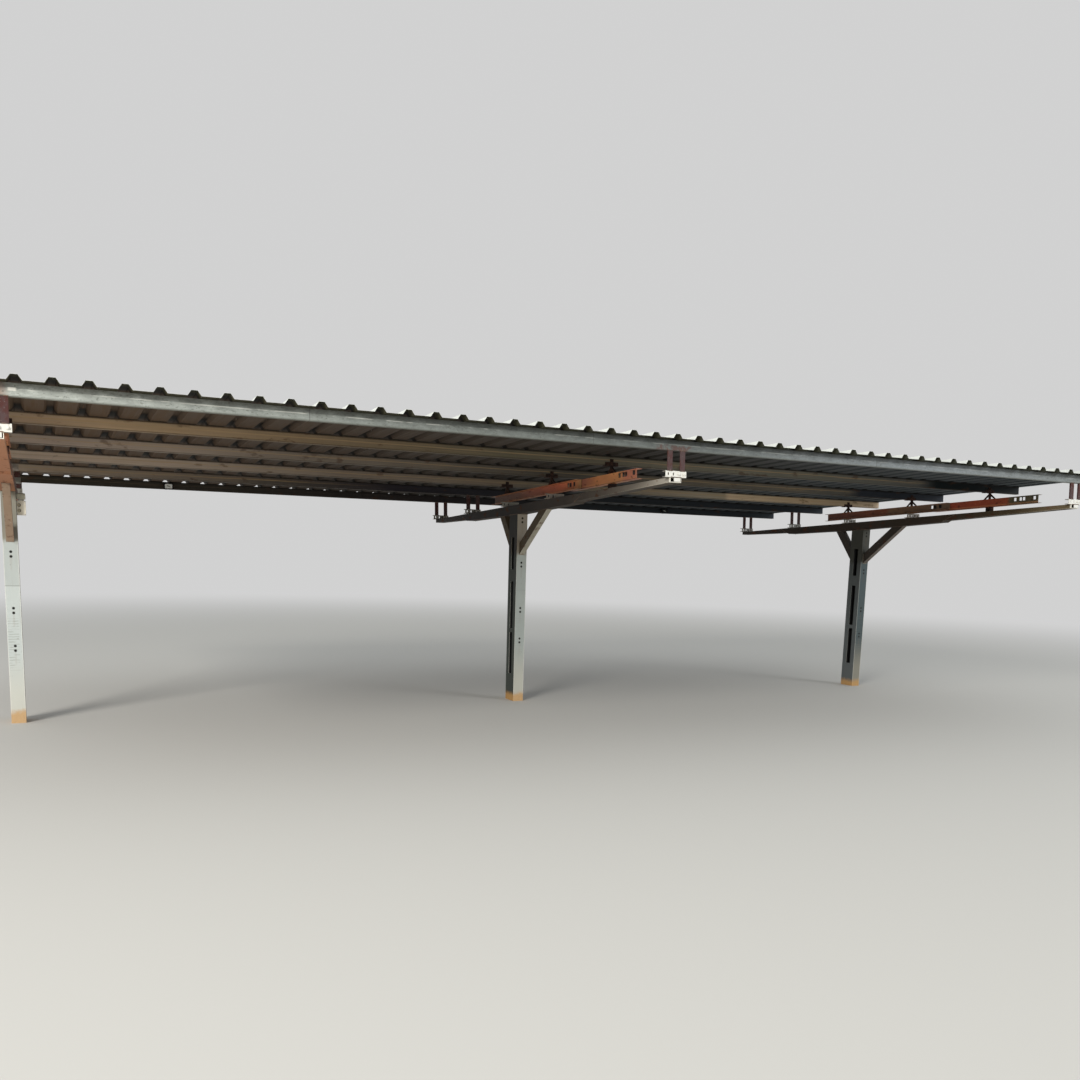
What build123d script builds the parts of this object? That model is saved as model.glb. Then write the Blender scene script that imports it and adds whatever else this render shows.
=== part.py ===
from build123d import *
from math import atan, cos, sin
import os

# Steel carport of two bays, in millimetres.
# X runs along the row of columns, Y runs to the back and Z is up.
# The origin is the middle of the middle column's foot, at ground level.
# Each frame is a column with a tapered rafter across its head, longer to the front than to the back.
# On the rafters stand channel cleats, which carry upper beams and posts, and those carry the purlins.

# Row of frames
bay = 5000
frame_sides = {"left": -1, "middle": 0, "right": 1}
roof_overhang_x = 500

# Roof slope: the rise to the front over a run of depth
roof_rise = 50
roof_run = 1000
roof_angle = atan(roof_rise / roof_run)

# Column: a front and a rear channel, joined by batten plates on their sides
column_width = 120
column_depth = 210
column_wall = 6
column_height = 2066
foot_plate_thickness = 10

# Side slots between the batten plates, and pairs of bolt holes, as shares of the column's height
slot_width = 70
slot_shares = [(0.145, 0.371), (0.393, 0.645), (0.709, 0.879)]
slot_spans = [(column_height * low, column_height * high) for low, high in slot_shares]
hole_radius = 7
hole_spacing = 42
hole_heights = [column_height * share for share in (0.33, 0.494, 0.736, 0.97)]

# Rafter: a slim tapered box beam from tip to tip, in a deeper saddle over the column
rafter_plate = 5
arm_width = 110
arm_depth = 68
tip_depth = 42
saddle_depth = 100
saddle_end_depth = 85
saddle_reach = 1371
saddle_top_reach = 1584

# Purlins: lipped channels, their webs to the front, at even steps of the slope
purlin_names = ["front", "second", "third", "fourth", "fifth", "rear"]
purlin_depth = 82
purlin_flange = 45
purlin_lip = 15
purlin_wall = 2.5
first_purlin = -3089
purlin_span = 5510
purlin_step = purlin_span / (len(purlin_names) - 1)
purlin_level = 219

# Cleats: short lengths of channel across the rafter, their webs to the front
cleat_length = 203
cleat_height = 52
cleat_flange = 50
cleat_wall = 6
cleat_slot_count = 4
cleat_slot_length = 26
cleat_slot_width = 13
tongue_width = 63
tongue_drop = 35
tongue_shift = 12
tip_clearance = 1

# Posts on the cleats: pairs of equal angles
post_leg = 50
post_wall = 5
post_spacing = 124

# Upper beams: two channels back to back, lapped in front of the column
# The front one of the right frame is longer
beam_width = 58
beam_depth = 90
beam_wall = 3
beam_gap = 4
front_beam_start = -2460
right_front_beam_start = -2640
front_beam_end = -1200
rear_beam_start = -1450
rear_beam_end = 640
front_beam_slot_steps = [46, 180, 222, 292]
rear_beam_slot_steps = [145, 222, 268]
beam_slot_length = 36
beam_slot_width = 30
beam_slot_level = 58
packer_size = 60

# Props from the upper beams to the purlins: a flat that laps the purlin, and two raking legs
prop_width = 32
prop_thickness = 10
prop_lap = 55
prop_shift = -12
leg_radius = 8
leg_spread = 80

# Braces between column and rafter: each one's drop is from the column's head to its foot
brace_width = 60
brace_depth = 100
brace_wall = 4
front_brace_drop = 436
front_brace_reach = 755
rear_brace_drop = 426
rear_brace_reach = 440

# Roof sheets: trapezoidal ribs, each sheet lapped over the next one's first rib
sheet_ribs = 5
sheet_count = 11
last_sheet_ribs = 2
sheet_left_margin = -3
sheet_right_margin = 104
sheet_end_overhang = 10
rib_height = 35
rib_crown = 40
rib_base = 88
sheet_thickness = 0.75
sheet_front_overhang = 100
sheet_rear_overhang = 120
lap_inset = 2
lap_lip = 12

# Fittings on the rear purlin and on the left column
left_light_x = -3387
right_light_x = 3464
light_width = 105
light_height = 75
light_depth = 34
light_corner = 8
light_drop = 7
light_foot_width = 35
light_foot_height = 38
light_foot_depth = 10
socket_width = 75
socket_height = 128
socket_depth = 80
socket_corner = 4
socket_drop = 201
socket_radius = 20
socket_recess = 8
socket_pitch = 60
hood_drop = 60
hood_height = 54
hood_corner = 6

rafter_top = column_height + saddle_depth * cos(roof_angle)
front_tip = first_purlin + rafter_plate
purlin_places = [first_purlin + purlin_step * i for i in range(len(purlin_names))]
rear_tip = purlin_places[-1] + purlin_flange
roof_length_x = 2 * (bay + roof_overhang_x)
roof_ribs = sheet_ribs * (sheet_count - 1) + last_sheet_ribs
rib_pitch = (roof_length_x - sheet_left_margin - sheet_right_margin) / roof_ribs
sheet_level = purlin_level + purlin_depth

os.makedirs("parts", exist_ok=True)


def frame_plane(x):
    """Side plane of a frame: local x runs back down the slope, local y is up from the rafter's top."""
    down_slope = (0, cos(roof_angle), -sin(roof_angle))
    return Plane(origin=(x, 0, rafter_top), x_dir=down_slope, z_dir=(1, 0, 0))


def slope_plane(place, level=0):
    """Cross plane of the roof: local x is the world's X, local y is up from the given level."""
    origin = frame_plane(0).from_local_coords((place, level, 0))
    return Plane(origin=origin, x_dir=(1, 0, 0), z_dir=(0, -cos(roof_angle), sin(roof_angle)))


def saddle_bottom(place):
    """Depth of the saddle below the rafter's top at a place along the slope."""
    run = max(abs(place) - column_depth / 2, 0)
    return saddle_depth - (saddle_depth - saddle_end_depth) * run / (saddle_reach - column_depth / 2)


def saddle_plane(x, direction):
    """Plane of the saddle's underside on one side of the column, its normal pointing up."""
    frame = frame_plane(x)
    near = frame.from_local_coords((direction * column_depth / 2, -saddle_depth, 0))
    far = frame.from_local_coords((direction * saddle_reach, -saddle_end_depth, 0))
    along = (far - near).normalized() * direction
    return Plane(origin=near, x_dir=(1, 0, 0), z_dir=Vector(1, 0, 0).cross(along))


def make_column(x):
    with BuildPart() as column:
        with BuildSketch(Plane.XY):
            with Locations((x, 0)):
                Rectangle(column_width, column_depth)
                Rectangle(column_width - 2 * column_wall, column_depth - 2 * column_wall, mode=Mode.SUBTRACT)
        extrude(amount=column_height + column_depth)
        with BuildSketch(Plane.XY):
            with Locations((x, 0)):
                Rectangle(column_width, column_depth)
        extrude(amount=foot_plate_thickness)
        with BuildSketch(Plane.YZ.offset(x - column_width)):
            for low, high in slot_spans:
                with Locations((0, (low + high) / 2)):
                    Rectangle(slot_width, high - low)
        extrude(amount=2 * column_width, mode=Mode.SUBTRACT)
        with BuildSketch(Plane.XZ.offset(-column_depth)):
            for height in hole_heights:
                for step in (-0.5, 0.5):
                    with Locations((x, height + step * hole_spacing)):
                        Circle(hole_radius)
        extrude(amount=2 * column_depth, mode=Mode.SUBTRACT)
        head = frame_plane(x)
        cut = Plane(origin=head.from_local_coords((0, -saddle_depth, 0)), z_dir=head.y_dir)
        split(bisect_by=cut, keep=Keep.BOTTOM)
    return column


def arm_outline(inset, overrun):
    """Side outline of the slim beam, from tip to tip."""
    top = -inset
    return [
        (front_tip - overrun, top),
        (rear_tip + overrun, top),
        (rear_tip + overrun, -tip_depth + inset),
        (saddle_reach, -arm_depth + inset),
        (-saddle_reach, -arm_depth + inset),
        (front_tip - overrun, -tip_depth + inset),
    ]


def saddle_outline(inset):
    """Side outline of the saddle; its ends slant back towards the column."""
    top = 0 if inset == 0 else -arm_depth
    slant = (saddle_top_reach - saddle_reach) / saddle_end_depth
    top_reach = saddle_top_reach + top * slant - 2 * inset
    half_head = column_depth / 2
    return [
        (-top_reach, top),
        (top_reach, top),
        (saddle_reach - 2 * inset, -saddle_end_depth + inset),
        (half_head, -saddle_depth + inset),
        (-half_head, -saddle_depth + inset),
        (-saddle_reach + 2 * inset, -saddle_end_depth + inset),
    ]


def make_rafter(x):
    with BuildPart() as rafter:
        with BuildSketch(frame_plane(x - arm_width / 2)):
            with BuildLine():
                Polyline(arm_outline(0, 0), close=True)
            make_face()
        extrude(amount=arm_width)
        with BuildSketch(frame_plane(x - column_width / 2)):
            with BuildLine():
                Polyline(saddle_outline(0), close=True)
            make_face()
        extrude(amount=column_width)
        with BuildSketch(frame_plane(x - arm_width / 2 + rafter_plate)):
            with BuildLine():
                Polyline(arm_outline(rafter_plate, rafter_plate), close=True)
            make_face()
        extrude(amount=arm_width - 2 * rafter_plate, mode=Mode.SUBTRACT)
        with BuildSketch(frame_plane(x - arm_width / 2)):
            with BuildLine():
                Polyline(saddle_outline(rafter_plate), close=True)
            make_face()
        extrude(amount=arm_width, mode=Mode.SUBTRACT)
    return rafter


def make_brace(x, direction, drop, reach):
    """Hollow strut; direction is -1 to the front and 1 to the back. Its lower edge ends at the reach."""
    foot = Vector(x, direction * column_depth / 2, column_height - drop)
    head = frame_plane(x).from_local_coords(Vector(direction * reach, -saddle_bottom(reach), 0))
    along = (head - foot).normalized()
    inward = Vector(1, 0, 0).cross(along) * direction
    start = foot - along * brace_depth + inward * brace_depth / 2
    with BuildPart() as brace:
        with BuildSketch(Plane(origin=start, x_dir=(1, 0, 0), z_dir=along)):
            Rectangle(brace_width, brace_depth)
            Rectangle(brace_width - 2 * brace_wall, brace_depth - 2 * brace_wall, mode=Mode.SUBTRACT)
        extrude(amount=(head - foot).length + 3 * brace_depth)
        split(bisect_by=Plane(origin=foot, z_dir=(0, direction, 0)), keep=Keep.TOP)
        split(bisect_by=saddle_plane(x, direction), keep=Keep.BOTTOM)
    return brace


def cleat_section(place):
    """Channel outline seen from the side: web to the front, flanges above and below."""
    rear = place + cleat_flange
    return [
        (place, 0),
        (rear, 0),
        (rear, cleat_wall),
        (place + cleat_wall, cleat_wall),
        (place + cleat_wall, cleat_height - cleat_wall),
        (rear, cleat_height - cleat_wall),
        (rear, cleat_height),
        (place, cleat_height),
    ]


def cleat_places():
    """Front of each cleat along the slope: at the tips and under the third, fourth and fifth purlins."""
    return [first_purlin] + purlin_places[2:-1] + [rear_tip - cleat_flange]


def make_cleats(x):
    with BuildPart() as cleats:
        for place in cleat_places():
            with BuildSketch(frame_plane(x - cleat_length / 2)):
                with BuildLine():
                    Polyline(cleat_section(place), close=True)
                make_face()
            extrude(amount=cleat_length)
            with BuildSketch(slope_plane(place - cleat_wall)):
                with Locations((x, cleat_height / 2)):
                    with GridLocations(cleat_length / cleat_slot_count, 0, cleat_slot_count, 1):
                        SlotOverall(cleat_slot_length, cleat_slot_width, rotation=90)
            extrude(amount=-3 * cleat_wall, mode=Mode.SUBTRACT)
        with BuildSketch(slope_plane(front_tip - tip_clearance)):
            with Locations((x + tongue_shift, -tongue_drop / 2 + cleat_wall / 2)):
                Rectangle(tongue_width, tongue_drop + cleat_wall)
        extrude(amount=rafter_plate - tip_clearance)
    return cleats


def angle_section(corner_x, corner_y, turn_x):
    """Equal angle outline with its corner at the front; turn_x is the way its front leg points."""
    return [
        (corner_x, corner_y),
        (corner_x + turn_x * post_leg, corner_y),
        (corner_x + turn_x * post_leg, corner_y + post_wall),
        (corner_x + turn_x * post_wall, corner_y + post_wall),
        (corner_x + turn_x * post_wall, corner_y + post_leg),
        (corner_x, corner_y + post_leg),
    ]


def make_posts(x):
    """Pairs of angle posts under the front, fifth and rear purlins."""
    base = frame_plane(0)
    post_places = cleat_places()[:1] + cleat_places()[-2:]
    with BuildPart() as posts:
        for place in post_places:
            foot = base.from_local_coords((0, cleat_height, 0))
            floor = Plane(origin=foot, x_dir=(1, 0, 0), z_dir=base.y_dir)
            with BuildSketch(floor):
                for side in (-1, 1):
                    corner = x + side * post_spacing / 2 + post_leg / 2
                    with BuildLine():
                        Polyline(angle_section(corner, place, -1), close=True)
                    make_face()
            extrude(amount=purlin_level - cleat_height)
    return posts


def make_upper_beam(x, side, start, end, slot_steps):
    """Channel on the cleats, open to its side, with upright slots in its web near the front end."""
    back = x + side * beam_gap / 2
    with BuildPart() as beam:
        with BuildSketch(slope_plane(end, cleat_height + beam_depth / 2)):
            with Locations((back + side * beam_width / 2, 0)):
                Rectangle(beam_width, beam_depth)
            with Locations((back + side * (beam_width + beam_wall) / 2, 0)):
                Rectangle(beam_width - beam_wall, beam_depth - 2 * beam_wall, mode=Mode.SUBTRACT)
        extrude(amount=end - start)
        with BuildSketch(frame_plane(back - 2 * beam_wall)):
            for step in slot_steps:
                with Locations((start + step, cleat_height + beam_slot_level)):
                    Rectangle(beam_slot_width, beam_slot_length)
        extrude(amount=4 * beam_wall, mode=Mode.SUBTRACT)
    return beam


def make_props(x):
    """Props on the upper beams under the second, third and fourth purlins, and one packer."""
    beam_top = cleat_height + beam_depth
    side = beam_gap / 2 + beam_width / 2
    front_shift = side + prop_shift
    rear_shift = prop_shift - side
    spots = [(purlin_places[1], front_shift), (purlin_places[2], rear_shift), (purlin_places[3], rear_shift)]
    with BuildPart() as props:
        for place, shift in spots:
            with BuildSketch(frame_plane(x + shift - prop_width / 2)):
                with BuildLine():
                    Polyline(
                        (place - prop_thickness, beam_top),
                        (place, beam_top),
                        (place, purlin_level + prop_lap),
                        (place - prop_thickness, purlin_level + prop_lap),
                        close=True,
                    )
                make_face()
            extrude(amount=prop_width)
            middle = place - prop_thickness / 2
            for way in (-1, 1):
                with BuildSketch(frame_plane(x + shift - leg_radius)):
                    with BuildLine():
                        Polyline(
                            (middle + way * leg_spread, beam_top),
                            (middle + way * (leg_spread - 2 * leg_radius), beam_top),
                            (middle, purlin_level - 4 * leg_radius),
                            (middle, purlin_level - leg_radius),
                            close=True,
                        )
                    make_face()
                extrude(amount=2 * leg_radius)
        with BuildSketch(frame_plane(x + side - packer_size / 2)):
            with Locations((purlin_places[1], cleat_height / 2)):
                Rectangle(packer_size, cleat_height)
        extrude(amount=packer_size)
    return props


def purlin_outline(place):
    """Lipped channel outline, open to the back."""
    rear = place + purlin_flange
    top = purlin_level + purlin_depth
    return [
        (place, purlin_level),
        (rear, purlin_level),
        (rear, purlin_level + purlin_lip),
        (rear - purlin_wall, purlin_level + purlin_lip),
        (rear - purlin_wall, purlin_level + purlin_wall),
        (place + purlin_wall, purlin_level + purlin_wall),
        (place + purlin_wall, top - purlin_wall),
        (rear - purlin_wall, top - purlin_wall),
        (rear - purlin_wall, top - purlin_lip),
        (rear, top - purlin_lip),
        (rear, top),
        (place, top),
    ]


def sheet_path(ribs, edge):
    """Underside of a sheet: half a lap crown, the ribs, and the lap rib over the next sheet or a cut edge."""
    half_crown = rib_crown / 2
    half_base = rib_base / 2
    path = [(-half_crown + lap_inset, rib_height), (half_crown, rib_height), (half_base, 0)]
    for i in range(1, ribs):
        centre = i * rib_pitch
        path += [
            (centre - half_base, 0),
            (centre - half_crown, rib_height),
            (centre + half_crown, rib_height),
            (centre + half_base, 0),
        ]
    centre = ribs * rib_pitch
    path.append((centre - half_base, 0))
    if edge is not None:
        path += [
            (centre - half_crown, rib_height),
            (centre + half_crown, rib_height),
            (centre + half_base, 0),
            (edge, 0),
        ]
        return path
    lap_height = rib_height + sheet_thickness
    flank = (half_base - half_crown) / rib_height
    lip_start = centre + half_crown + 2 * sheet_thickness
    path += [
        (centre - half_crown, lap_height),
        (lip_start, lap_height),
        (lip_start + lap_lip * flank, lap_height - lap_lip),
    ]
    return path


def make_sheet(left, ribs, edge):
    length = purlin_places[-1] + purlin_flange + sheet_rear_overhang - first_purlin + sheet_front_overhang
    rear_edge = rear_tip + sheet_rear_overhang
    lower = [(left + u, v) for u, v in sheet_path(ribs, edge)]
    with BuildPart() as sheet:
        with BuildSketch(slope_plane(rear_edge, sheet_level)):
            with BuildLine():
                path = Polyline(lower)
                offset(path, amount=sheet_thickness, side=Side.LEFT, kind=Kind.INTERSECTION, closed=True)
            make_face()
        extrude(amount=length)
    return sheet


def make_floodlight(x):
    """Flat housing on a plate, screwed to the front of the rear purlin."""
    place = purlin_places[-1]
    low = purlin_level - light_drop
    with BuildPart() as light:
        with BuildSketch(slope_plane(place - light_foot_depth, low + light_height / 2)):
            with Locations((x, 0)):
                RectangleRounded(light_width, light_height, light_corner)
        extrude(amount=light_depth)
        with BuildSketch(slope_plane(place, low + light_height / 2)):
            with Locations((x, light_drop)):
                Rectangle(light_foot_width, light_foot_height)
        extrude(amount=light_foot_depth)
    return light


def make_socket_box():
    face = -bay + column_width / 2
    bottom = column_height - socket_drop
    middle = bottom + socket_height / 2
    with BuildPart() as box:
        with BuildSketch(Plane.XY.offset(bottom)):
            with Locations((face + socket_width / 2, 0)):
                RectangleRounded(socket_width, socket_depth, socket_corner)
        extrude(amount=socket_height)
        with BuildSketch(Plane.XZ.offset(socket_depth / 2)):
            for step in (-0.5, 0.5):
                with Locations((face + socket_width / 2, middle + step * socket_pitch)):
                    Circle(socket_radius)
        extrude(amount=-socket_recess, mode=Mode.SUBTRACT)
    return box


def make_hood():
    face = -bay + column_width / 2
    with BuildPart() as hood:
        with BuildSketch(Plane.XY.offset(column_height - hood_drop)):
            with Locations((face + socket_width / 2, 0)):
                RectangleRounded(socket_width, socket_depth, hood_corner)
        extrude(amount=hood_height)
    return hood


# Frames
for side, step in frame_sides.items():
    frame_x = step * bay
    column = make_column(frame_x)
    column.part.label = f"{side}_column"
    export_step(column.part, f"parts/{side}_column.step")

    rafter = make_rafter(frame_x)
    rafter.part.label = f"{side}_rafter"
    export_step(rafter.part, f"parts/{side}_rafter.step")

    front_brace = make_brace(frame_x, -1, front_brace_drop, front_brace_reach)
    front_brace.part.label = f"{side}_front_brace"
    export_step(front_brace.part, f"parts/{side}_front_brace.step")

    rear_brace = make_brace(frame_x, 1, rear_brace_drop, rear_brace_reach)
    rear_brace.part.label = f"{side}_rear_brace"
    export_step(rear_brace.part, f"parts/{side}_rear_brace.step")

    cleats = make_cleats(frame_x)
    cleats.part.label = f"{side}_cleats"
    export_step(cleats.part, f"parts/{side}_cleats.step")

    posts = make_posts(frame_x)
    posts.part.label = f"{side}_posts"
    export_step(posts.part, f"parts/{side}_posts.step")

    front_start = right_front_beam_start if side == "right" else front_beam_start
    front_beam = make_upper_beam(frame_x, 1, front_start, front_beam_end, front_beam_slot_steps)
    front_beam.part.label = f"{side}_front_upper_beam"
    export_step(front_beam.part, f"parts/{side}_front_upper_beam.step")

    rear_beam = make_upper_beam(frame_x, -1, rear_beam_start, rear_beam_end, rear_beam_slot_steps)
    rear_beam.part.label = f"{side}_rear_upper_beam"
    export_step(rear_beam.part, f"parts/{side}_rear_upper_beam.step")

    props = make_props(frame_x)
    props.part.label = f"{side}_props"
    export_step(props.part, f"parts/{side}_props.step")

# Purlins
for purlin_name, place in zip(purlin_names, purlin_places):
    with BuildPart() as purlin:
        with BuildSketch(frame_plane(-roof_length_x / 2)):
            with BuildLine():
                Polyline(purlin_outline(place), close=True)
            make_face()
        extrude(amount=roof_length_x)
    purlin.part.label = f"{purlin_name}_purlin"
    export_step(purlin.part, f"parts/{purlin_name}_purlin.step")

# Roof sheets
sheet_cover = sheet_ribs * rib_pitch
sheets_left = sheet_left_margin - roof_length_x / 2
roof_right = roof_length_x / 2 + sheet_end_overhang
for number in range(sheet_count):
    left = sheets_left + number * sheet_cover
    if number < sheet_count - 1:
        sheet = make_sheet(left, sheet_ribs, None)
    else:
        sheet = make_sheet(left, last_sheet_ribs, roof_right - left)
    sheet.part.label = f"roof_sheet_{number + 1:02d}"
    export_step(sheet.part, f"parts/roof_sheet_{number + 1:02d}.step")

# Fittings
for side, light_x in [("left", left_light_x), ("right", right_light_x)]:
    light = make_floodlight(light_x)
    light.part.label = f"{side}_floodlight"
    export_step(light.part, f"parts/{side}_floodlight.step")

socket_box = make_socket_box()
socket_box.part.label = "socket_box"
export_step(socket_box.part, "parts/socket_box.step")

socket_hood = make_hood()
socket_hood.part.label = "socket_hood"
export_step(socket_hood.part, "parts/socket_hood.step")
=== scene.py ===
import math

import bmesh
import bpy
from mathutils import Matrix, Vector


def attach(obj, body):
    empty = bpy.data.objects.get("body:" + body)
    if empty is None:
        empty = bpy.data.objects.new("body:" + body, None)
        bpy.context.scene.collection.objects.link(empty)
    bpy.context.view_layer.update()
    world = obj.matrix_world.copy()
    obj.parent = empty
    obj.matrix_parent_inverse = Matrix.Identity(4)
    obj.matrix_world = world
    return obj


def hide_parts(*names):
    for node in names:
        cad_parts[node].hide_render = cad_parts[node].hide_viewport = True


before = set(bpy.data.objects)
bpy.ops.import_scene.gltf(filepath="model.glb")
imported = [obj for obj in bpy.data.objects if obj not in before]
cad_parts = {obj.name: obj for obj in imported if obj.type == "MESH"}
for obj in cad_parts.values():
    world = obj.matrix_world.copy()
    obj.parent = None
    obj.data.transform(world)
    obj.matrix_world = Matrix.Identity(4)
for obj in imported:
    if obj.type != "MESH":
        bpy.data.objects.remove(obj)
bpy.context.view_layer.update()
print("carport frame loaded:", len(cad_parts), "steel parts")

# Setting out of the carport, in metres: "run" goes back down the roof slope, "level" up from the rafters
carport = {
    "bay": 5.0,
    "slope": math.atan(0.05),
    "rafterTop": 2.165875,
    "firstPurlin": -3.089,
    "purlinPitch": 1.102,
    "purlinLevel": 0.219,
    "ribStart": -5.503,
    "ribPitch": 0.209596,
    "ribs": 52,
    "ribsPerSheet": 5,
    "ribHeight": 0.035,
    "sheets": 11,
    "sheetLevel": 0.301,
    "sheetThickness": 0.00075,
    "cleatHeight": 0.052,
}
frames = {"left": -carport["bay"], "middle": 0.0, "right": carport["bay"]}
purlins = ["front", "second", "third", "fourth", "fifth", "rear"]
slopeCos = math.cos(carport["slope"])
slopeSin = math.sin(carport["slope"])
upward = Vector((0, slopeSin, slopeCos))
forward = Vector((0, -slopeCos, slopeSin))


def onSlope(x, run, level):
    height = carport["rafterTop"] - run * slopeSin + level * slopeCos
    return Vector((x, run * slopeCos + level * slopeSin, height))


def purlinRun(index):
    return carport["firstPurlin"] + carport["purlinPitch"] * index


def ink(colour):
    # sRGB hex to the linear values that Blender works in; links and finished values pass through
    if not isinstance(colour, str):
        return colour
    parts = [int(colour[i:i + 2], 16) / 255 for i in (0, 2, 4)]
    return tuple(p / 12.92 if p <= 0.04045 else ((p + 0.055) / 1.055) ** 2.4 for p in parts) + (1.0,)


def mathsNode(operation, swapped=False):
    return lambda wire, other: wire.maths(operation, other, swapped)


class Wire:
    # A socket of a node tree; maths on it adds Math nodes
    def __init__(self, tree, socket):
        self.tree = tree
        self.socket = socket

    def maths(self, operation, other=0.0, swapped=False):
        first, second = (other, self) if swapped else (self, other)
        return self.tree.node("ShaderNodeMath", {0: first, 1: second}, operation=operation)

    def __abs__(self):
        return self.maths("ABSOLUTE")

    __add__ = __radd__ = mathsNode("ADD")
    __mul__ = __rmul__ = mathsNode("MULTIPLY")
    __sub__, __rsub__ = mathsNode("SUBTRACT"), mathsNode("SUBTRACT", swapped=True)
    __truediv__, __rtruediv__ = mathsNode("DIVIDE"), mathsNode("DIVIDE", swapped=True)
    __gt__, __lt__ = mathsNode("GREATER_THAN"), mathsNode("LESS_THAN")


class Tree:
    # A node tree, for a material, the world or Geometry Nodes
    def __init__(self, nodeTree):
        self.nodeTree = nodeTree

    def node(self, kind, sockets=None, output=0, **settings):
        # settings are the node's own, such as a ramp's stops, and go on before its sockets
        made = self.nodeTree.nodes.new(kind)
        for key, value in settings.items():
            if key == "stops":
                ramp = made.color_ramp.elements
                ramp.remove(ramp[1])
                ramp[0].position, ramp[0].color = value[0]
                for place, colour in value[1:]:
                    ramp.new(place).color = colour
            else:
                setattr(made, key, value)
        for key, value in (sockets or {}).items():
            for item in value if isinstance(value, list) else [value]:
                if isinstance(item, Wire):
                    self.nodeTree.links.new(item.socket, made.inputs[key])
                else:
                    made.inputs[key].default_value = item
        return Wire(self, made.outputs[output])


class Finish(Tree):
    # A procedural material on Object coordinates, its colour laid on in coats.
    # Values given by name are set on the shader itself.
    def __init__(self, name, **fixed):
        self.material = bpy.data.materials.new(name)
        self.material.use_nodes = True
        super().__init__(self.material.node_tree)
        self.shader = self.nodeTree.nodes["Principled BSDF"]
        for key, value in fixed.items():
            self.shader.inputs[key].default_value = value
        self.place = self.node("ShaderNodeTexCoord", output="Object")
        self.x, self.y, self.z = self.split(self.place)
        height = self.z - carport["rafterTop"]
        self.run = self.y * slopeCos - height * slopeSin
        self.level = self.y * slopeSin + height * slopeCos

    def split(self, vector):
        outputs = self.node("ShaderNodeSeparateXYZ", {0: vector}).socket.node.outputs
        return [Wire(self, outputs[i]) for i in range(3)]

    def facing(self):
        return self.split(self.node("ShaderNodeNewGeometry", output="True Normal"))

    def grain(self, size, stretch=(1, 1, 1), detail=3.0, rough=0.55, shift=0.0):
        # noise of about the given size in metres, longer by stretch along each axis
        scale = tuple(1 / (size * s) for s in stretch)
        sockets = {"Vector": self.place, "Location": (shift,) * 3, "Scale": scale}
        moved = self.node("ShaderNodeMapping", sockets)
        sockets = {"Vector": moved, "Scale": 1.0, "Detail": detail, "Roughness": rough}
        return self.node("ShaderNodeTexNoise", sockets)

    def spangle(self, scale):
        # one value for each crystal of the zinc
        crystals = self.node("ShaderNodeTexVoronoi", {"Vector": self.place, "Scale": scale}, "Color")
        return self.split(crystals)[0]

    def ease(self, value, low, high):
        # 0 below low, 1 above high, smooth between
        sockets = {"Value": value, "From Min": low, "From Max": high}
        return self.node("ShaderNodeMapRange", sockets, interpolation_type="SMOOTHSTEP")

    def spots(self, low, high, *size, **kind):
        # patches where the grain rises past low
        return self.ease(self.grain(*size, **kind), low, high)

    def band(self, value, low, high, edge):
        return self.ease(value, low - edge, low) * (1 - self.ease(value, high, high + edge))

    def mix(self, mask, under, over):
        return self.node("ShaderNodeMix", {0: mask, 6: ink(under), 7: ink(over)}, 2, data_type="RGBA")

    def shade(self, colour, amount):
        # a colour made darker or lighter by a value around 1
        colour = colour if isinstance(colour, Wire) else ink(colour)[:3]
        grey = self.node("ShaderNodeCombineXYZ", {0: amount, 1: amount, 2: amount})
        return self.node("ShaderNodeVectorMath", {0: colour, 1: grey}, operation="MULTIPLY")

    def ramp(self, value, stops):
        # colours by place, from the first stop to the last
        low, high = stops[0][0], stops[-1][0]
        spread = [((place - low) / (high - low), ink(code)) for place, code in stops]
        return self.node("ShaderNodeValToRGB", {0: (value - low) / (high - low)}, stops=spread)

    def lay(self, mask, colour):
        # one more coat on the colour, where the mask is above 0
        self.colour = self.mix(mask, self.colour, colour)

    def put(self, rough=None, height=None, depth=0.001, metal=None):
        feeds = {"Base Color": self.colour, "Roughness": rough, "Metallic": metal}
        if height:
            sockets = {"Strength": 1.0, "Distance": depth, "Height": height}
            feeds["Normal"] = self.node("ShaderNodeBump", sockets)
        for label, wire in feeds.items():
            if wire:
                self.nodeTree.links.new(wire.socket, self.shader.inputs[label])
        return self.material


# weathered steel gives back little of the sky
matt = {"Specular IOR Level": 0.18}


# Columns: pale paint with a soil stain at the foot; the brown head is painted shadow of the roof, and the
# right column's dark tones are painted shade
columnLook = {
    "left": {
        "web": "b2b9b7", "webHead": "797465", "flank": "393e3a", "flankHead": "3a3838",
        "splice": 0.6, "ripples": 0.5, "soilTop": 0.125, "lower": (1.238, 1.24), "lowerGain": 0.13,
    },
    "middle": {
        "web": "a7aeaa", "webHead": "9f9282", "flank": "393e3a", "flankHead": "393738",
        "splice": 0.12, "ripples": 0.15, "soilTop": 0.1, "lower": (0.7, 1.5), "lowerGain": -0.2,
    },
    # painted shade: the right column is given dark tones, as if it stood in the roof's shade
    "right": {
        "web": "4b5658", "webHead": "504e46", "flank": "565b5c", "flankHead": "46463f",
        "splice": 0.1, "ripples": 0.15, "soilTop": 0.09, "lower": (0.7, 1.5), "lowerGain": -0.2,
    },
}
columnPlaces = {
    # the roof's painted shadow on the columns comes down between these heights
    "dustAndShade": (1.62, 1.70),
    "splice": 1.24,
    "bolts": (0.682, 1.021, 1.521, 2.004),
    "boltSpacing": 0.042,
    "webX": 0.0565,
    "webY": 0.1015,
}


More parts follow.
